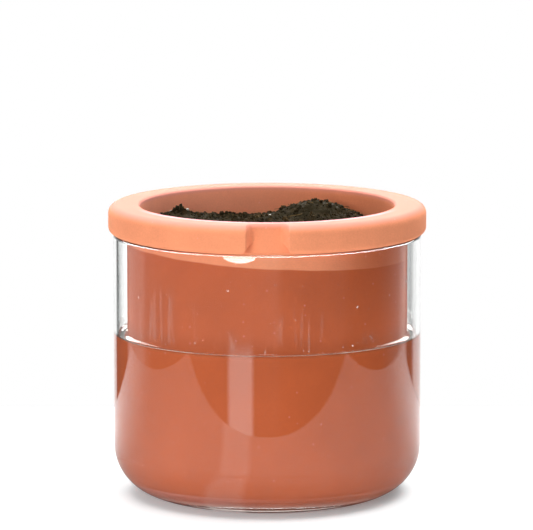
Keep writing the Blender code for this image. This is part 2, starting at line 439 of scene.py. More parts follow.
model_soil = BVHTree.FromObject(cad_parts["potting_soil"], bpy.context.evaluated_depsgraph_get())
places = coordinates(soil)
for index, (x, y, z) in enumerate(places):
    hit = model_soil.ray_cast(Vector((x, y, 1.0)), Vector((0, 0, -1)))[0]
    share = min(max(1 - (FLAT_LEVEL - EDGE_ROUND - z) / STRETCH_DEPTH, 0), 1)
    places[index][2] = z + share * (hit.z - TOP_SINK - FLAT_LEVEL)
set_coordinates(soil, places)
on_top = set(np.flatnonzero(np.hypot(places[:, 0], places[:, 1]) < SOIL_RADIUS - TOP_EDGE).tolist())
on_top -= set(np.flatnonzero(places[:, 2] < FLAT_LEVEL - EDGE_ROUND).tolist())
print("soil top", round(places[:, 2].max() / MM, 1), "mm")

# %% [markdown]
# Two cloud textures roughen the top, one for lumps and one for grains. The side shows when the soil is
# lifted out, so it is roughened too, inwards only, so that it stays clear of the clay.

# %% Roughen it with clouds
def vertex_group(item, name, indices):
    group = item.vertex_groups.new(name=name)
    group.add(sorted(indices), 1.0, "REPLACE")
    return name


def apply(item, modifier):
    only(item)
    bpy.ops.object.modifier_apply(modifier=modifier.name)


def cloud(name, size, depth):
    texture = bpy.data.textures.new(name, "CLOUDS")
    texture.noise_scale = size
    texture.noise_depth = depth
    texture.noise_type = "HARD_NOISE"
    return texture


def roughen(item, group, texture, strength, direction, level):
    rough = item.modifiers.new("rough", "DISPLACE")
    rough.texture = texture
    rough.strength = strength
    rough.mid_level = level
    rough.direction = direction
    rough.vertex_group = group
    apply(item, rough)
    print(f"{item.name}: {group} roughened by {strength / MM:.1f} mm")


top = vertex_group(soil, "top", on_top)
side = vertex_group(soil, "side", set(range(len(places))) - on_top)
roughen(soil, top, cloud("lumps", size=5 * MM, depth=2), strength=1.6 * MM, direction="Z", level=0.4)
roughen(soil, top, cloud("grain", size=1.8 * MM, depth=2), strength=1.4 * MM, direction="NORMAL",
        level=0.4)
roughen(soil, side, cloud("plug", size=4 * MM, depth=3), strength=1.2 * MM, direction="NORMAL",
        level=1.0)

# %% [markdown]
# ## Loose crumbs, fibres and perlite
# A displaced skin alone looks like a cast of soil. Real compost is loose bits: crumbs of a millimetre or
# two, a few clods, fibres and white perlite beads. A particle system could strew them, but its copies
# would have to be made real. So a few shapes of each kind are modelled with few faces.

# %% Model a crumb and a fibre
CRUMB_DENTS = 0.16             # how far a crumb's corners are moved, as a share of its width
FIBRE_RADIUS = 0.028           # as a share of its length
FIBRE_CUTS = (-0.25, 0.0, 0.25)


def dented_ball(name, seed, dents=CRUMB_DENTS, finer=1):
    """A ball 1 m across, of 20 faces unless it is finer, to be scaled to a crumb."""
    deselect()
    bpy.ops.mesh.primitive_ico_sphere_add(subdivisions=finer, radius=0.5)
    ball = bpy.context.object
    ball.name = name
    bpy.ops.object.mode_set(mode="EDIT")
    bpy.ops.transform.vertex_random(offset=dents, uniform=1.0, normal=0.0, seed=seed)
    bpy.ops.object.mode_set(mode="OBJECT")
    return ball


def fibre_shape(name, bow):
    """A thin bowed strand of four sides, 1 m long."""
    deselect()
    bpy.ops.mesh.primitive_cylinder_add(vertices=4, radius=FIBRE_RADIUS, depth=1.0,
                                        rotation=(0, math.pi / 2, 0))
    fibre = bpy.context.object
    fibre.name = name
    bpy.ops.object.transform_apply(location=False, rotation=True, scale=False)
    bpy.ops.object.mode_set(mode="EDIT")
    for cut in FIBRE_CUTS:
        bpy.ops.mesh.select_all(action="SELECT")
        bpy.ops.mesh.bisect(plane_co=(cut, 0, 0), plane_no=(1, 0, 0))
    bpy.ops.object.mode_set(mode="OBJECT")
    for vert in fibre.data.vertices:
        vert.co.z += bow * (1 - 4 * vert.co.x ** 2)
        vert.co.y += bow * 0.6 * math.sin(5 * vert.co.x)
    return fibre


crumb_shapes = [dented_ball(f"crumb_{number}", number) for number in range(6)]
print("a crumb has", len(crumb_shapes[0].data.polygons), "faces")

# %% [markdown]
# They are copied to seeded random places on the bed, and all copies of a kind become one mesh. A ray from
# above finds the height of the bed under each. Every copy gets a tint of its own for its material.

# %% Helpers that scatter copies
def scatter(name, shapes, spots, smooth=True):
    """One mesh of copies of the shapes, which are then removed. A spot is (place, turn, sizes, tint)."""
    all_places, all_faces, all_tints = [], [], []
    count = 0
    for number, (place, turn, size, tint) in enumerate(spots):
        source = shapes[number % len(shapes)]
        local = coordinates(source) * np.array(size)
        turned = local @ np.array(Euler(turn).to_matrix()).T
        all_places.append(turned + np.array(place))
        all_faces += [[index + count for index in face.vertices] for face in source.data.polygons]
        all_tints.append(np.full(len(local), tint))
        count += len(local)
    mesh = bpy.data.meshes.new(name)
    mesh.from_pydata(np.vstack(all_places).tolist(), [], all_faces)
    tint = mesh.attributes.new("tint", "FLOAT", "POINT")
    tint.data.foreach_set("value", np.concatenate(all_tints).astype(np.float32))
    item = bpy.data.objects.new(name, mesh)
    bpy.context.scene.collection.objects.link(item)
    for polygon in mesh.polygons:
        polygon.use_smooth = smooth
    for shape in shapes:
        bpy.data.objects.remove(shape, do_unlink=True)
    print(f"{name}: {len(spots)} copies, {len(mesh.polygons)} faces")
    return item


SEED = 7
rng = random.Random(SEED)
bed = BVHTree.FromObject(soil, bpy.context.evaluated_depsgraph_get())


def bed_under(x, y):
    return bed.ray_cast(Vector((x, y, 1.0)), Vector((0, 0, -1)))[0]


def on_bed(margin):
    """A random spot on the soil's top, at least a margin from the wall, and its height."""
    while True:
        x = rng.uniform(-SOIL_RADIUS, SOIL_RADIUS)
        y = rng.uniform(-SOIL_RADIUS, SOIL_RADIUS)
        if math.hypot(x, y) < SOIL_RADIUS - margin:
            return bed_under(x, y)


def any_turn():
    return tuple(rng.uniform(0, 2 * math.pi) for _ in range(3))


print("bed under the middle:", round(bed_under(0, 0).z / MM, 1), "mm")

# %% [markdown]
# Most crumbs are small, so their sizes come from the cube of a random number. A few clods lie between
# them, and a small heap of crumbs stands at the back left.

# %% Scatter the crumbs
CRUMBS, CLODS, HEAPED = 3600, 130, 60
SMALLEST, SPAN = 0.7, 2.3      # of the crumbs' sizes, in millimetres
CLOD_SIZES, HEAPED_SIZES = (2.6, 4.4), (1.2, 2.8)
CLUMP = (-50 * MM, 35 * MM)    # the heap at the back left
CLUMP_HEIGHT = 4.5 * MM
CLUMP_SPREAD = 2.4 * MM
CLUMP_REACH = 3.6 * MM         # where the heap has fallen to about a third

crumb_spots = []
for _ in range(CRUMBS):
    big = rng.random() ** 3
    size = (SMALLEST + SPAN * big) * MM
    spot = on_bed(0.8 * MM + size / 2)
    spot.z += size * rng.uniform(-0.1, 0.25)
    lengths = [size * rng.uniform(0.7, 1.25) for _ in range(3)]
    crumb_spots.append((spot, any_turn(), lengths, rng.random()))
for _ in range(CLODS):
    size = rng.uniform(*CLOD_SIZES) * MM
    lengths = [size * rng.uniform(0.6, 1.1) for _ in range(3)]
    crumb_spots.append((on_bed(1.5 * MM + size / 2), any_turn(), lengths, rng.random()))
for _ in range(HEAPED):
    aside, away = rng.gauss(0, CLUMP_SPREAD), rng.gauss(0, CLUMP_SPREAD)
    spot = bed_under(CLUMP[0] + aside, CLUMP[1] + away)
    spot.z += CLUMP_HEIGHT * math.exp(-(aside ** 2 + away ** 2) / CLUMP_REACH ** 2) * rng.random()
    lengths = [rng.uniform(*HEAPED_SIZES) * MM for _ in range(3)]
    crumb_spots.append((spot, any_turn(), lengths, rng.random()))
crumbs = scatter("soil_crumbs", crumb_shapes, crumb_spots, smooth=False)

# %% [markdown]
# Fibres lie almost flat, a little proud of the bed. Perlite beads are rare, and one is set beside the
# small heap.

# %% Scatter the fibres and the beads
FIBRES, BEADS = 150, 7
FIBRE_LENGTHS, BEAD_SIZES = (3.0, 9.0), (1.3, 2.2)     # in millimetres
FIBRE_BOWS = (0.05, 0.14, -0.09)
FIBRE_THICKNESS = 4.5 * MM     # scales a shape whose radius is FIBRE_RADIUS
LEFT_BEAD = (-46 * MM, 38 * MM)        # the one beside the heap

fibre_shapes = [fibre_shape(f"fibre_{number}", bow) for number, bow in enumerate(FIBRE_BOWS)]
fibre_spots = []
for _ in range(FIBRES):
    length = rng.uniform(*FIBRE_LENGTHS) * MM
    spot = on_bed(1.0 * MM + length / 2)
    spot.z += 0.7 * MM
    turn = (rng.uniform(0, 6.28), rng.uniform(-0.35, 0.35), rng.uniform(0, 6.28))
    thick = FIBRE_THICKNESS * rng.uniform(0.7, 1.3)
    fibre_spots.append((spot, turn, (length, thick, thick), rng.random()))
fibres = scatter("soil_fibres", fibre_shapes, fibre_spots)

bead_shapes = [dented_ball(f"bead_{number}", 20 + number) for number in range(3)]
bead_spots = []
for _ in range(BEADS):
    size = rng.uniform(*BEAD_SIZES) * MM
    spot = on_bed(2.0 * MM)
    spot.z += size * 0.35
    bead_spots.append((spot, any_turn(), (size, size, size * 0.85), rng.random()))
left_bead = bed_under(*LEFT_BEAD) + Vector((0, 0, 1.2 * MM))
bead_spots.append((left_bead, any_turn(), (2.1 * MM, 2.0 * MM, 1.8 * MM), 0.5))
beads = scatter("perlite_beads", bead_shapes, bead_spots)

# %% [markdown]
# ## Droplets on the glass
# Above the water the air between pot and glass is moist, and small drops hang on the inside of the glass.
# A drop is a low dome. Each is a small ball pressed flat against the wall, its back just inside the
# glass for the same reason as the water's skin. They are denser near the water, and few are large.

# %% Scatter the droplets
DROPS = 190
DROP_DEPTH = 0.42              # depth of a drop as a share of its width
DROP_BACK = 0.02 * MM          # how deep its middle lies in the glass
DROPS_FROM, DROPS_SPAN = 2.5, 42       # where they hang over the water, in millimetres
NARROWEST, WIDTH_SPAN = 0.35, 0.75

drop_shape = dented_ball("drop", seed=0, dents=0.0, finer=2)
drop_spots = []
for _ in range(DROPS):
    angle = rng.uniform(0, 2 * math.pi)
    height = water_line + (DROPS_FROM + DROPS_SPAN * rng.random() ** 1.7) * MM
    width = (NARROWEST + WIDTH_SPAN * rng.random() ** 3) * MM
    spot = Vector((math.cos(angle), math.sin(angle), 0)) * (glass_bore + DROP_BACK)
    spot.z = height
    size = (width * DROP_DEPTH, width, width * rng.uniform(1.0, 1.35))
    drop_spots.append((spot, (0, 0, angle), size, 0.5))
drops = scatter("glass_droplets", [drop_shape], drop_spots)

# %% [markdown]
# ## Node helpers
# Each finish is a node tree. A few small helpers keep the trees short: one sets a node's inputs, one adds
# a node with its settings, and the others calculate with what nodes put out.

# %% Helpers that add nodes and calculate
def connect(tree, node, **inputs):
    """Sets a node's inputs. Each is given a value or an output socket of another node."""
    for key, value in inputs.items():
        socket = node.inputs[int(key[1:])] if key[1:].isdigit() else node.inputs[key.replace("_", " ")]
        if isinstance(value, bpy.types.NodeSocket):
            tree.links.new(value, socket)
        else:
            socket.default_value = value


def add_node(tree, kind, settings=None, **inputs):
    node = tree.nodes.new("ShaderNode" + kind)
    for key, value in (settings or {}).items():
        setattr(node, key, value)
    connect(tree, node, **inputs)
    return node


def calculate(tree, operation, a, b=0.0, c=0.5, clamp=False):
    settings = {"operation": operation, "use_clamp": clamp}
    return add_node(tree, "Math", settings, i0=a, i1=b, i2=c).outputs[0]


def plus(tree, a, b):
    return calculate(tree, "ADD", a, b)


def minus(tree, a, b):
    return calculate(tree, "SUBTRACT", a, b)


def times(tree, a, b):
    return calculate(tree, "MULTIPLY", a, b)


def most(tree, a, b):
    return calculate(tree, "MAXIMUM", a, b)


def axes(tree, vector):
    return add_node(tree, "SeparateXYZ", Vector=vector).outputs


def distance(tree, place, middle=(0, 0, 0)):
    node = add_node(tree, "VectorMath", {"operation": "DISTANCE"}, i0=place, i1=middle)
    return node.outputs["Value"]


def stretched(tree, where, scale):
    return add_node(tree, "Mapping", Vector=where, Scale=scale).outputs[0]

# %% [markdown]
# The other helpers make what the finishes share: greys and blends, masks that fade softly between two
# values, noise, and a new material with the place on its piece.

# %% Helpers for colours, masks and materials
def grey(tree, level):
    return add_node(tree, "CombineColor", Red=level, Green=level, Blue=level).outputs[0]


def blend_colours(tree, share, a, b, mode="MIX"):
    node = add_node(tree, "Mix", {"data_type": "RGBA", "blend_type": mode}, i0=share, i6=a, i7=b)
    return node.outputs[2]


def spread(tree, value, low, high, to_low=0.0, to_high=1.0, kind="SMOOTHSTEP"):
    """Spreads the stretch of a value from low to high over another one, softly at both ends."""
    node = add_node(tree, "MapRange", {"interpolation_type": kind}, Value=value,
                    From_Min=low, From_Max=high, To_Min=to_low, To_Max=to_high)
    return node.outputs[0]


def noise(tree, vector, scale, detail=2.0, roughness=0.5):
    node = add_node(tree, "TexNoise", Vector=vector, Scale=scale, Detail=detail, Roughness=roughness)
    return node.outputs["Fac"]


def new_material(name):
    material = bpy.data.materials.new(name)
    material.use_nodes = True
    tree = material.node_tree
    where = add_node(tree, "TexCoord").outputs["Object"]
    return material, tree, tree.nodes["Principled BSDF"], where


def dress(item, material, body, slot, *nodes):
    """Gives a piece its material and body, and hides the nodes that it stands for. The slot is not used."""
    item.data.materials.clear()
    item.data.materials.append(material)
    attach(item, body)
    if nodes:
        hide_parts(*nodes)
    print(f"{item.name}: {material.name}, {len(material.node_tree.nodes)} nodes, rides on {body}")

# %% [markdown]
# ## A shared grain
# Clay and soil both need grain at several sizes at once: soft mottling, fine grains and scattered specks.
# That is one node group with its own sizes, placed in both materials. It puts out masks only, so each
# material decides what to do with them.

# %% Build the grain group
SPECK_EDGE = (0.16, 0.08)      # a speck's edge and its full middle, from the middle of its cell
SPECK_CHANCE = (0.80, 0.86)    # cells whose random number is under the first have none


def grain_group():
    group = bpy.data.node_groups.new("earth_grain", "ShaderNodeTree")
    sockets = group.interface
    sockets.new_socket("Place", in_out="INPUT", socket_type="NodeSocketVector")
    for name, value in (("Mottle Scale", 40.0), ("Grain Scale", 900.0), ("Speck Scale", 260.0)):
        sockets.new_socket(name, in_out="INPUT", socket_type="NodeSocketFloat").default_value = value
    for name in ("Mottle", "Grain", "Specks"):
        sockets.new_socket(name, in_out="OUTPUT", socket_type="NodeSocketFloat")
    given = group.nodes.new("NodeGroupInput").outputs
    cells = add_node(group, "TexVoronoi", Vector=given["Place"], Scale=given["Speck Scale"]).outputs
    chance = add_node(group, "SeparateColor", Color=cells["Color"]).outputs[0]
    specks = times(group, spread(group, cells["Distance"], *SPECK_EDGE),
                   spread(group, chance, *SPECK_CHANCE))
    connect(group, group.nodes.new("NodeGroupOutput"), Specks=specks,
            Mottle=noise(group, given["Place"], given["Mottle Scale"], 4.0, 0.6),
            Grain=noise(group, given["Place"], given["Grain Scale"], 3.0, 0.65))
    return group


earth_grain = grain_group()


def place_grain(tree, where, mottle, grain, speck):
    return add_node(tree, "Group", {"node_tree": earth_grain}, Place=where, Mottle_Scale=mottle,
                    Grain_Scale=grain, Speck_Scale=speck).outputs


print(earth_grain.name, "has", len(earth_grain.nodes), "nodes")

# %% [markdown]
# ## Terracotta, dry and damp
# The clay drinks. Water climbs in the wall and stops a finger's width under the rim, in a sharp and
# slightly slanting front: pale dry clay above it, dark red damp clay below. Inside the pot the wall is damp
# from the soil nearly to the mouth, more so at the right. A painted mask could show the front, but it can be
# worked out: it is a height, tilted and made wavy with noise. At the right the rim's shade on the band under
# it is painted in with the damp colour, growing towards the right.

# %% Work out where the clay is damp, and where shade is painted
DAMP_DROP = 8.8 * MM           # from the rim's underside to the damp front
DAMP_TILT = 0.052              # how much lower it is for each metre to the right
DAMP_WANDER = 2.2 * MM         # how far it wanders up and down
DAMP_EDGE = (-0.3 * MM, 0.5 * MM)      # how sharp it is
RIM_SHADE_SHARE = 0.75              # share of painted shade, in the damp colour, under the rim at the right
RIM_SHADE_REACH = (24 * MM, 66 * MM)       # from where to where it gets to that share
INSIDE_REACH = 60 * MM         # how far to each side the inner wall's two values lie
INSIDE_DAMP = (0.0, 0.42)      # how damp the inner wall is at the left and at the right
INSIDE_DEPTH = (0.2 * MM, 5.0 * MM)    # depth over which the mouth gets damp


def damp_and_rim_shade_mask(tree, where, axis, in_bore):
    wander = minus(tree, noise(tree, where, scale=26.0, detail=3.0), 0.5)
    front = minus(tree, rim_bottom - DAMP_DROP, times(tree, axis["X"], DAMP_TILT))
    below_front = minus(tree, plus(tree, front, times(tree, wander, DAMP_WANDER)), axis["Z"])
    # painted shade: the rim's shadow on the band under it at the right, drawn with the damp colour
    rim_shade = spread(tree, axis["X"], *RIM_SHADE_REACH, 0.0, RIM_SHADE_SHARE)
    under_rim = spread(tree, axis["Z"], rim_bottom + 0.5 * MM, rim_bottom - 0.5 * MM)
    outside = most(tree, spread(tree, below_front, *DAMP_EDGE), times(tree, rim_shade, under_rim))
    inside = times(tree, spread(tree, axis["X"], -INSIDE_REACH, INSIDE_REACH, *INSIDE_DAMP),
                   spread(tree, axis["Z"], rim_top - INSIDE_DEPTH[0], rim_top - INSIDE_DEPTH[1]))
    return most(tree, outside, times(tree, inside, in_bore))


print(f"damp front: {(rim_bottom - DAMP_DROP) / MM:.1f} mm up in the middle")

# %% [markdown]
# Dry or damp, the clay is never one even tone. It is mottled and grainy, and darker where it is wet just
# over the water. The rim's top is painted darker and duller, against the strong light that falls on it, and
# a painted highlight lies along its inner edge at the front. The inner wall is painted paler at the left,
# where more light falls. Each of these is a mask made from a height, from the distance to the axis or from
# the shared grain.

# %% Tone the clay, and paint light and shade on it
GRAIN_SPAN = (0.3, 0.7)        # between these lie nearly all values of the grain
MOTTLE_SHADES, FINE_SHADES = (0.93, 1.06), (0.95, 1.05)
WET_HEIGHT = 13 * MM           # height of the wet clay over the water
WET_SHADE = 0.16               # how much darker it is
PAINTED_TOP_COLOUR = (0.62, 0.245, 0.235, 1.0)    # painted shade: the top darker and duller, against the strong light that falls on it
PAINTED_TOP_SHARE = 0.6
PAINTED_TOP_DEPTH = (3.4 * MM, 0.3 * MM)       # how far down the painted top starts, and where it is full
PALE_SPECKS_AND_PAINTED_LIGHT = (0.92, 0.50, 0.56, 1.0)   # of the specks, and of the painted highlight and painted light
SPECK_SHARE = 0.2              # how pale the specks in the clay are
EDGE_HIGHLIGHT_SHARE = 0.55              # how pale the painted highlight on the inner edge is
EDGE_HIGHLIGHT_REACH = (6.0 * MM, 4.0 * MM)      # from the bore
EDGE_HIGHLIGHT_FRONT = (-20 * MM, -50 * MM)      # how far to the front it starts, and where it is full
INSIDE_PAINTED_LIGHT = (0.00, 0.10)     # painted light on the inner wall, at the right and at the left


def clay_shade(tree, axis, from_axis, grain):
    mottle = spread(tree, grain["Mottle"], *GRAIN_SPAN, *MOTTLE_SHADES, "LINEAR")
    fine = spread(tree, grain["Grain"], *GRAIN_SPAN, *FINE_SHADES, "LINEAR")
    wet = times(tree, spread(tree, axis["Z"], water_line + WET_HEIGHT, water_line + MM),
                spread(tree, axis["Z"], water_line - 2 * MM, water_line - MM))
    wet = times(tree, wet, spread(tree, from_axis, pot_bore + MM, pot_bore + 2 * MM, 0.0, WET_SHADE))
    return grey(tree, times(tree, times(tree, mottle, fine), minus(tree, 1.0, wet)))


def clay_specks_and_painted_light(tree, colour, axis, from_axis, in_bore, grain):
    """The clay's colour with its specks, painted shade on its top and painted light at the edge and inside.
    """
    # painted shade on the rim's top, which the light from above would otherwise blow out
    on_top = spread(tree, axis["Z"], rim_top - PAINTED_TOP_DEPTH[0], rim_top - PAINTED_TOP_DEPTH[1])
    colour = blend_colours(tree, times(tree, on_top, PAINTED_TOP_SHARE), colour, PAINTED_TOP_COLOUR)
    # a painted highlight along the front inner edge of the rim's top
    at_edge = spread(tree, from_axis, pot_bore + EDGE_HIGHLIGHT_REACH[0], pot_bore + EDGE_HIGHLIGHT_REACH[1], 0.0, EDGE_HIGHLIGHT_SHARE)
    edge_highlight = times(tree, times(tree, at_edge, spread(tree, axis["Y"], *EDGE_HIGHLIGHT_FRONT)), on_top)
    # painted light: the inner wall paler at the left, where more light falls
    inside_light = times(tree, in_bore, spread(tree, axis["X"], INSIDE_REACH, -INSIDE_REACH, *INSIDE_PAINTED_LIGHT))
    # the specks are the clay's own; the rest is the painted highlight and painted light
    specks_and_painted_light = most(tree, most(tree, times(tree, grain["Specks"], SPECK_SHARE), edge_highlight), inside_light)
    return blend_colours(tree, specks_and_painted_light, colour, PALE_SPECKS_AND_PAINTED_LIGHT)

# %% [markdown]
# The colours, the mask and the painted light and shade come together in the material. Cast clay also has
# faint level rings, left by the turned mould, which are noise squeezed along the height. It feels dry: it is
# rough, a little less so where it is damp, with hardly any gloss.

# %% Mix the terracotta
DRY_CLAY = (0.82, 0.295, 0.150, 1.0)
DAMP_CLAY = (0.50, 0.100, 0.029, 1.0)
DRY_ROUGHNESS = 0.88
DAMP_POLISH = 0.2              # how much smoother the damp clay is
GRAIN_ROUGHNESS = 0.08
RING_STRETCH = (6, 6, 260)


def terracotta():
    material, tree, shader, where = new_material("terracotta_clay")
    grain = place_grain(tree, where, mottle=28.0, grain=1100.0, speck=240.0)
    axis = axes(tree, where)
    flat_place = add_node(tree, "VectorMath", {"operation": "MULTIPLY"}, i0=where, i1=(1, 1, 0))
    from_axis = distance(tree, flat_place.outputs[0])
    in_bore = spread(tree, from_axis, pot_bore + 0.6 * MM, pot_bore + 0.2 * MM)
    # the damp, and the painted shade under the rim at the right
    damp = damp_and_rim_shade_mask(tree, where, axis, in_bore)
    colour = blend_colours(tree, damp, DRY_CLAY, DAMP_CLAY)
    colour = blend_colours(tree, 1.0, colour, clay_shade(tree, axis, from_axis, grain), "MULTIPLY")
    colour = clay_specks_and_painted_light(tree, colour, axis, from_axis, in_bore, grain)
    rough = minus(tree, DRY_ROUGHNESS, times(tree, damp, DAMP_POLISH))
    rough = calculate(tree, "ADD", rough, times(tree, grain["Grain"], GRAIN_ROUGHNESS), clamp=True)
    rings = noise(tree, stretched(tree, where, RING_STRETCH), scale=1.0)
    height = plus(tree, times(tree, rings, 0.6), grain["Grain"])
    height = minus(tree, height, times(tree, grain["Specks"], 0.8))
    bump = add_node(tree, "Bump", Strength=0.35, Distance=0.1 * MM, Height=height)
    connect(tree, shader, Base_Color=colour, Roughness=rough, Specular_IOR_Level=0.1, Sheen_Weight=0.05,
            Sheen_Roughness=0.45, Sheen_Tint=(1.0, 0.86, 0.74, 1.0), Normal=bump.outputs[0])
    return material


dress(pot, terracotta(), "pot", "terracotta", "terracotta_pot")

# %% [markdown]
# ## Glass and water
# Both are clear, so their look is all in their index of refraction, 1.5 and 1.33. Path-traced light
# hardly finds its way to the clay through two curved skins, and the pot would sit in its own shadow. So
# lamps' shadow rays and rays that leave the clay pass through as if the glass were air. Only the thick
# foot keeps some of its shade, so that the planter stands on the table and doesn't float. The bright line
# along the foot's front edge is a painted glow: a ray that has turned often enough in the foot ends in an
# emission there. It stands in for the light that the foot pipes from the backdrop to its front edge in many
# small turns, more than are traced. The glass has the faint waves of a blown wall, which end below the lip,
# because that was melted smooth.

# %% Mix the clear materials
FOOT_SHADE = 0.15              # light that the foot lets through
FOOT_HEIGHT = (0.5 * MM, 16.0 * MM)    # where its shade starts to fade, and where it has gone
FOOT_TURNS = 7                 # a ray that turns so often in the foot ends in the painted glow
FOOT_LEAP = 16.2 * MM          # if its last leap was at least so long, as flatter rays lose less light
# colour of the painted glow at the foot's front edge
FOOT_GLOW_COLOUR = (1.0, 0.84, 0.76, 1.0)
FOOT_GLOW_LEVEL = 1.5
GLASS_PASS = 0.945             # light that each face of the glass lets through
WAVES_BELOW = (10 * MM, 20 * MM)       # how far under the rim the waves start, and where they are full


def foot_painted_glow(tree, rays, up, surface):
    """Ends a ray that has turned often enough in the foot in a painted glow, for the light that the foot
    carries.
    """
    piped = calculate(tree, "GREATER_THAN", rays["Ray Depth"], FOOT_TURNS - 0.5)
    piped = times(tree, piped, spread(tree, up, glass_floor + 4 * MM, glass_floor))
    piped = times(tree, piped, calculate(tree, "GREATER_THAN", rays["Ray Length"], FOOT_LEAP))
    # painted glow: an emission in the glass
    gleam = add_node(tree, "Emission", Color=FOOT_GLOW_COLOUR, Strength=FOOT_GLOW_LEVEL)
    return add_node(tree, "MixShader", i0=piped, i1=surface, i2=gleam.outputs[0]).outputs[0]


def clear_material(name, colour, index, wave_scale, wave_height, passed=1.0, has_foot=False):
    material, tree, shader, where = new_material(name)
    up = axes(tree, where)["Z"]
    waves = times(tree, noise(tree, where, wave_scale, detail=1.0),
                  spread(tree, up, rim_bottom - WAVES_BELOW[0], rim_bottom - WAVES_BELOW[1]))
    bump = add_node(tree, "Bump", Strength=0.3, Distance=wave_height, Height=waves)
    connect(tree, shader, Base_Color=colour, Roughness=0.0, IOR=index, Transmission_Weight=1.0,
            Normal=bump.outputs[0])
    rays = add_node(tree, "LightPath").outputs
    through = add_node(tree, "BsdfTransparent", Color=(passed, passed, passed, 1))
    if has_foot:
        level = most(tree, spread(tree, up, *FOOT_HEIGHT, FOOT_SHADE, 1.0), rays["Is Diffuse Ray"])
        connect(tree, through, Color=grey(tree, times(tree, level, passed)))
    passes = most(tree, rays["Is Shadow Ray"], rays["Is Diffuse Ray"])
    mix = add_node(tree, "MixShader", i0=passes, i1=shader.outputs[0], i2=through.outputs[0]).outputs[0]
    if has_foot:
        mix = foot_painted_glow(tree, rays, up, mix)
    connect(tree, tree.nodes["Material Output"], Surface=mix)
    return material


clear_glass = clear_material("blown_glass", (0.985, 0.995, 0.99, 1.0), index=1.5, wave_scale=30.0,
                             wave_height=0.1 * MM, passed=GLASS_PASS, has_foot=True)
clear_water = clear_material("still_water", (0.985, 0.995, 0.995, 1.0), index=1.33, wave_scale=40.0,
                             wave_height=0.02 * MM)
dress(glass, clear_glass, "vessel", "clear_glass", "glass_vessel")
dress(water, clear_water, "vessel", "water", "reservoir_water")
dress(drops, clear_water, "vessel", "water")

# %% [markdown]
# ## Haze on the inside of the glass
# Over the water the glass has fogged a little and the fog has run down in streaks, and a few places were
# wiped. Noise in the glass's own roughness would blur what lies behind it, so the fog is a film of its own,
# as thin as a hair inside the wall. Its Alpha is nearly zero except where tall, narrow noise draws the runs.

# %% Fog the glass
FILM_GAP = 0.05 * MM
FILM_THICK = 0.05 * MM
FILM_TOP = rim_bottom - 9 * MM
FILM_FOOT = water_line + 2 * MM
FILM_ALPHA = 0.08
FADE_TOP, FADE_FOOT = 22 * MM, 4 * MM  # height over which it thins out at its top and at its foot
RUN_STRETCH = (210, 210, 14)
RUN_SPAN, PATCH_SPAN = (0.5, 0.78), (0.45, 0.65)   # values of noise from no fog to full fog
SMEARS = (((19 * MM, -82.4 * MM, 107 * MM), 17 * MM), ((-45 * MM, -71.6 * MM, 99 * MM), 15 * MM),
          ((-22 * MM, -81.6 * MM, 97 * MM), 11 * MM))      # middle and reach of the marks of wiping


def haze_material():
    material, tree, shader, where = new_material("glass_haze")
    tall = noise(tree, stretched(tree, where, RUN_STRETCH), scale=1.0, detail=3.0, roughness=0.6)
    patches = spread(tree, noise(tree, where, scale=24.0, detail=1.0), *PATCH_SPAN)
    for middle, reach in SMEARS:
        smear = spread(tree, distance(tree, where, middle), reach, 0.3 * reach, 0.0, 2.0)
        patches = most(tree, patches, smear)
    up = axes(tree, where)["Z"]
    ends = times(tree, spread(tree, up, FILM_FOOT, FILM_FOOT + FADE_FOOT),
                 spread(tree, up, FILM_TOP, FILM_TOP - FADE_TOP))
    fog = times(tree, times(tree, spread(tree, tall, *RUN_SPAN), patches), ends)
    connect(tree, shader, Base_Color=(0.86, 0.80, 0.76, 1.0), Roughness=1.0, Specular_IOR_Level=0.0,
            Alpha=times(tree, fog, FILM_ALPHA))
    return material


film_outer = glass_bore - FILM_GAP
film_inner = film_outer - FILM_THICK
film_section = [(film_inner, FILM_FOOT), (film_outer, FILM_FOOT), (film_outer, FILM_TOP),
                (film_inner, FILM_TOP), (film_inner, FILM_FOOT)]
film = draw_section("glass_haze", film_section)
spin_round(film, GLASS_STEPS)
dress(film, haze_material(), "vessel", "water")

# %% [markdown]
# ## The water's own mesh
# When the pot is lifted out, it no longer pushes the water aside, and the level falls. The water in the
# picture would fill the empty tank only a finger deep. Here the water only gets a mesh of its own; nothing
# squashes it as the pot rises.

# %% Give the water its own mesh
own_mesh(water)

# %% [markdown]
# ## Soil
# Moist compost is nearly black, with brown and olive grains. The bed takes its tints from noise, and
# the loose bits from the tint that each copy was given.

# %% Mix the soil materials
BLACK_SOIL = (0.006, 0.004, 0.0025, 1.0)
BROWN_SOIL = (0.032, 0.018, 0.007, 1.0)
OLIVE_SOIL = (0.042, 0.034, 0.009, 1.0)
STRAW = (0.24, 0.15, 0.06, 1.0)
PERLITE = (0.78, 0.74, 0.66, 1.0)
TINT_FROM, TINT_TO = 0.5, 1.05         # shares at which the second colour starts and would be full
ACCENT_SHARE = 0.25


def soil_material(name, low, high, accent, from_tint=True):
    material, tree, shader, where = new_material(name)
    grain = place_grain(tree, where, mottle=120.0, grain=1400.0, speck=420.0)
    share = grain["Mottle"]
    if from_tint:
        share = add_node(tree, "Attribute", {"attribute_name": "tint"}).outputs["Fac"]
    colour = blend_colours(tree, spread(tree, share, TINT_FROM, TINT_TO), low, high)
    colour = blend_colours(tree, times(tree, grain["Grain"], ACCENT_SHARE), colour, accent)
    bump = add_node(tree, "Bump", Strength=0.8, Distance=0.3 * MM, Height=grain["Grain"])
    connect(tree, shader, Base_Color=colour, Roughness=0.92, Specular_IOR_Level=0.03,
            Normal=bump.outputs[0])
    return material


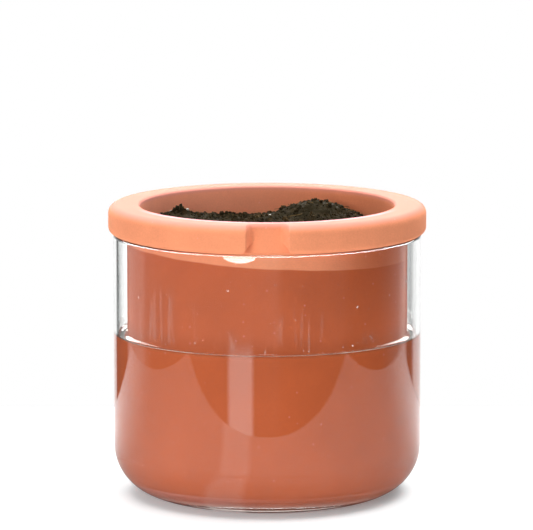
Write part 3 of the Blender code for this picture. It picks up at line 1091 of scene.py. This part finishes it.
dress(soil, soil_material("compost", BLACK_SOIL, BROWN_SOIL, OLIVE_SOIL, from_tint=False),
      "soil", "soil", "potting_soil")
dress(crumbs, soil_material("compost_crumbs", BLACK_SOIL, BROWN_SOIL, OLIVE_SOIL), "soil", "soil")
dress(fibres, soil_material("compost_fibres", BROWN_SOIL, STRAW, OLIVE_SOIL), "soil", "soil")
dress(beads, soil_material("perlite", PERLITE, PERLITE, BROWN_SOIL), "soil", "soil")

# %% [markdown]
# ## Table and studio
# The planter stands on a white table in front of a white backdrop. Most of what makes glass look like glass
# is what it mirrors, so the studio is set up as a photographer would: a square softbox at the front left,
# a large one overhead, a bright backdrop and a dim room with a few lit walls. The lamps stay at a plain
# level, so that the clay renders about as its colour is written.

# %% Lay the table
TABLE_LEFT, TABLE_RIGHT = -0.505, 0.505
TABLE_FRONT, TABLE_BACK = -0.325, 0.25
TABLE_DROP = 0.2 * MM          # from the foot down to the table, so that the two never share a face

deselect()
table_middle = ((TABLE_LEFT + TABLE_RIGHT) / 2, (TABLE_FRONT + TABLE_BACK) / 2, -TABLE_DROP)
bpy.ops.mesh.primitive_plane_add(size=1, location=table_middle)
table = bpy.context.object
table.name = "white_table"
table.scale = (TABLE_RIGHT - TABLE_LEFT, TABLE_BACK - TABLE_FRONT, 1)
bpy.ops.object.transform_apply(location=True, rotation=False, scale=True)
print("table:", [round(side, 3) for side in table.dimensions], "m")

# %% [markdown]
# The room is one ramp round the table: how bright the studio is in each direction. A ray that only went
# through the glass sees the white backdrop, and a ray that the glass has mirrored sees the room. Glossy
# Depth tells them apart, because it counts only mirrored bounces.

# %% Helpers for the room
ROOM = (                       # direction from the camera's, to the right, in degrees, and brightness
    (-180, 1.1), (-158, 1.1), (-155, 0.05), (-130, 0.05), (-128, 0.6), (-107, 0.6), (-104, 0.33),
    (-10, 0.35), (6, 0.42), (12, 0.22), (58, 0.18), (66, 0.06), (92, 0.06), (103, 0.16), (116, 0.35),
    (123, 0.85), (127, 0.85), (130, 0.08), (139, 0.08), (144, 1.1), (180, 1.1))
ROOM_FULL = 2.0                # brightness at the ramp's full white
STREAK_LEFT, STREAK_RIGHT = math.radians(-29), math.radians(-11)   # the key's gleam on the table
STREAK_SOFT = 0.04             # radians over which its sides fade


def mirrored_room(tree, direction):
    """Brightness of the room in a direction, and the mask of the gleam under the key."""
    axis = axes(tree, direction)
    turn = calculate(tree, "ARCTAN2", axis["X"], times(tree, axis["Y"], -1.0))
    share = calculate(tree, "MULTIPLY_ADD", turn, 1 / (2 * math.pi), 0.5)
    ramp = add_node(tree, "ValToRGB", Fac=share)
    stops = ramp.color_ramp.elements
    for angle, level in ROOM:
        place = angle / 360 + 0.5
        stop = stops[0] if place == 0 else stops[-1] if place == 1 else stops.new(place)
        stop.color = (level / ROOM_FULL,) * 3 + (1,)
    left_end = spread(tree, turn, STREAK_LEFT - STREAK_SOFT, STREAK_LEFT + STREAK_SOFT)
    right_end = spread(tree, turn, STREAK_RIGHT + STREAK_SOFT, STREAK_RIGHT - STREAK_SOFT)
    return times(tree, ramp.outputs["Color"], ROOM_FULL), times(tree, left_end, right_end)


def pick(tree, share, a, b):
    """The number a where share is 0, and b where it is 1."""
    return add_node(tree, "Mix", {"data_type": "FLOAT"}, i0=share, i2=a, i3=b).outputs[0]


def look_nodes(tree):
    """The Light Path's outputs, and masks of the rays that look and of those that something mirrored."""
    rays = add_node(tree, "LightPath").outputs
    seen = most(tree, most(tree, rays["Is Camera Ray"], rays["Is Transmission Ray"]), rays["Is Glossy Ray"])
    return rays, seen, calculate(tree, "GREATER_THAN", rays["Glossy Depth"], 0.5)


print("the room has", len(ROOM), "stops, up to", max(level for _, level in ROOM))

# %% [markdown]
# What a mirrored ray sees is built up from the ramp, an even level above the horizon, the glow of the
# overhead light and the key's gleam. The clay gets only a weak plain light, more of it from the left.

# %% Paint the room round the table
STREAK_ROOM = 1.45             # brightness of the key's gleam beyond the table
STREAK_TOP, STREAK_FULL = -9.9, -10.3  # its top, and where it is full, in degrees above the horizon
ROOM_DIP = 0.3                 # how bright the room in front still is below the table's level
ROOM_ABOVE = 0.75              # above the horizon the room is evenly lit
ABOVE_FROM = -0.07             # the upward part of a direction at which that starts
CEILING_LOW, CEILING_HIGH = 12, 40     # height of the overhead glow, in degrees
CEILING_GLOW = 22.0
BEHIND_LEFT, BEHIND_RIGHT = 2.2, 0.6   # the lit backdrop behind the glass, at its left and right
BEHIND_REACH = 0.25            # the sideways part of a direction at which it is at these levels
BEHIND_ONLY = (0.70, 0.85)     # its backward part, from plain white to these levels
ROOM_LIGHT = 0.23              # plain light on the clay
ROOM_LEAN = 0.16               # how much more of it comes from the left


def rise(degrees):
    """The upward part of a direction so many degrees above the horizon."""
    return math.sin(math.radians(degrees))


def studio_world():
    world = bpy.data.worlds.new("studio")
    bpy.context.scene.world = world
    world.use_nodes = True
    tree = world.node_tree
    direction = add_node(tree, "TexCoord").outputs["Generated"]
    axis = axes(tree, direction)
    side, up = axis["X"], axis["Z"]
    room, streak = mirrored_room(tree, direction)
    dip = spread(tree, up, rise(STREAK_FULL), rise(STREAK_TOP), ROOM_DIP, 1.0)
    dip = most(tree, dip, spread(tree, axis["Y"], 0.0, 0.3))
    room = pick(tree, spread(tree, up, ABOVE_FROM, 0.0), times(tree, room, dip), ROOM_ABOVE)
    glow = times(tree, spread(tree, up, rise(CEILING_LOW), rise(CEILING_LOW + 1)),
                 spread(tree, up, rise(CEILING_HIGH + 1), rise(CEILING_HIGH)))
    room = plus(tree, room, times(tree, glow, CEILING_GLOW))
    below = spread(tree, up, rise(STREAK_TOP), rise(STREAK_FULL), 0.0, STREAK_ROOM)
    room = plus(tree, room, times(tree, streak, below))
    rays, seen, mirrored = look_nodes(tree)
    behind = spread(tree, side, -BEHIND_REACH, BEHIND_REACH, BEHIND_LEFT, BEHIND_RIGHT, "LINEAR")
    behind = pick(tree, spread(tree, axis["Y"], *BEHIND_ONLY), 1.0, behind)
    behind = pick(tree, rays["Is Camera Ray"], behind, 1.0)
    white = (1, 1, 1, 1)
    backdrop = add_node(tree, "Background", Color=white, Strength=pick(tree, mirrored, behind, room))
    plain = tree.nodes["Background"]
    connect(tree, plain, Color=white, Strength=calculate(tree, "MULTIPLY_ADD", side, -ROOM_LEAN, ROOM_LIGHT))
    mix = add_node(tree, "MixShader", i0=seen, i1=plain.outputs[0], i2=backdrop.outputs[0])
    connect(tree, tree.nodes["World Output"], Surface=mix.outputs[0])
    print(world.name, "has", len(tree.nodes), "nodes")


studio_world()

# %% [markdown]
# The table is matt. Its own diffuse shade carries the soft shadow, and the camera sees it a good deal
# whiter than the glass does, which lifts the open surface to the white of the backdrop, so its edges don't
# show. Near the planter a faint blue-green glow takes the clay's red out of the shadow. For mirrored rays
# the table is greyer at the front than at the back, as the glass in the picture mirrors it.

# %% Paint the table
TABLE_WHITE = 0.56
TABLE_MIRRORED = (0.36, 0.80)  # for rays that the glass mirrors, at the front and at the back
MIRRORED_REACH = (-0.02, 0.22)         # from where to where it turns from the one to the other
TABLE_SEEN_WHITE = 0.95        # for the camera, so that the open table is as white as the backdrop
TABLE_GLOW = 0.05              # for the camera
NEAR_GLOW = 0.18               # for the camera, near the planter
NEAR_COLOUR = (0.45, 0.90, 1.0, 1.0)
NEAR_REACH = (130 * MM, 85 * MM)       # from the axis
TABLE_GLOW_BELOW = 0.2         # for rays that look through the glass
TABLE_GLOW_BOUNCED = 0.50      # for rays from the clay: the light that water and glass gather under them
TABLE_STREAK = 0.38            # brightness of the key's gleam on it


def table_material():
    material, tree, shader, where = new_material("white_table")
    rays, seen, mirrored = look_nodes(tree)
    camera_sees = rays["Is Camera Ray"]
    near = times(tree, spread(tree, distance(tree, where), *NEAR_REACH), camera_sees)
    plain_glow = pick(tree, near, pick(tree, camera_sees, TABLE_GLOW_BELOW, TABLE_GLOW), NEAR_GLOW)
    streak = times(tree, mirrored_room(tree, where)[1], TABLE_STREAK)
    glow = pick(tree, seen, TABLE_GLOW_BOUNCED, pick(tree, mirrored, plain_glow, streak))
    back = spread(tree, axes(tree, where)["Y"], *MIRRORED_REACH, *TABLE_MIRRORED)
    white = pick(tree, camera_sees, pick(tree, mirrored, TABLE_WHITE, back), TABLE_SEEN_WHITE)
    connect(tree, shader, Base_Color=grey(tree, white), Roughness=0.9, Specular_IOR_Level=0.0,
            Emission_Strength=glow, Emission_Color=blend_colours(tree, near, (1, 1, 1, 1), NEAR_COLOUR))
    return material


table.data.materials.append(table_material())
print("table material:", table.data.materials[0].name)

# %% [markdown]
# The key softbox gives the clay its shape and the glass its bright gleams, so its height is set by the
# gleam that it leaves on the lip. The overhead one lights the rim's top and the soil, and lays the soft
# shadow under the planter.

# %% Light the studio
KEY_PLACE, KEY_SIDE, KEY_POWER = (-0.34, -0.94, 0.2016), 0.41, 5.25
OVERHEAD_PLACE, OVERHEAD_SIDE, OVERHEAD_POWER = (0.05, 0.10, 1.10), 1.0, 22.5
AIM_HEIGHT = 0.12              # the height on the axis that a lamp faces, or its own if that is less


def softbox(name, location, side, power):
    """A square lamp that faces the pot."""
    lamp = bpy.data.lights.new(name, "AREA")
    lamp.shape = "RECTANGLE"
    lamp.size = side
    lamp.size_y = side
    lamp.energy = power
    item = bpy.data.objects.new(name, lamp)
    item.location = location
    aim = Vector((0, 0, min(item.location.z, AIM_HEIGHT))) - item.location
    item.rotation_euler = aim.to_track_quat("-Z", "Y").to_euler()
    bpy.context.scene.collection.objects.link(item)
    print(f"{name}: {side} m square, {power} W, {aim.length:.2f} m away")


softbox("key_front_left", KEY_PLACE, KEY_SIDE, KEY_POWER)
softbox("overhead", OVERHEAD_PLACE, OVERHEAD_SIDE, OVERHEAD_POWER)

# %% [markdown]
# ## Camera
# The picture was taken from 2.4 m with a long lens, nine degrees above the horizon, so the rim's near and
# far sides look almost the same width.

# %% Set the camera
CAMERA_DISTANCE = 2.4
CAMERA_HEIGHT = 0.5103
CAMERA_SIDE = -0.4 * MM
CAMERA_PITCH = math.radians(9.0)
CAMERA_LENS = 289.4            # focal length and sensor width, in millimetres
SENSOR_WIDTH = 36.0

camera_data = bpy.data.cameras.new("camera")
camera_data.sensor_width = SENSOR_WIDTH
camera_data.lens = CAMERA_LENS
camera = bpy.data.objects.new("camera", camera_data)
camera.location = (CAMERA_SIDE, -CAMERA_DISTANCE, CAMERA_HEIGHT)
camera.rotation_euler = (math.pi / 2 - CAMERA_PITCH, 0, 0)
bpy.context.scene.collection.objects.link(camera)
bpy.context.scene.camera = camera
bpy.context.scene.view_settings.view_transform = "Standard"
print(f"camera: {CAMERA_DISTANCE} m away, {math.degrees(camera_data.angle):.1f} degrees wide")
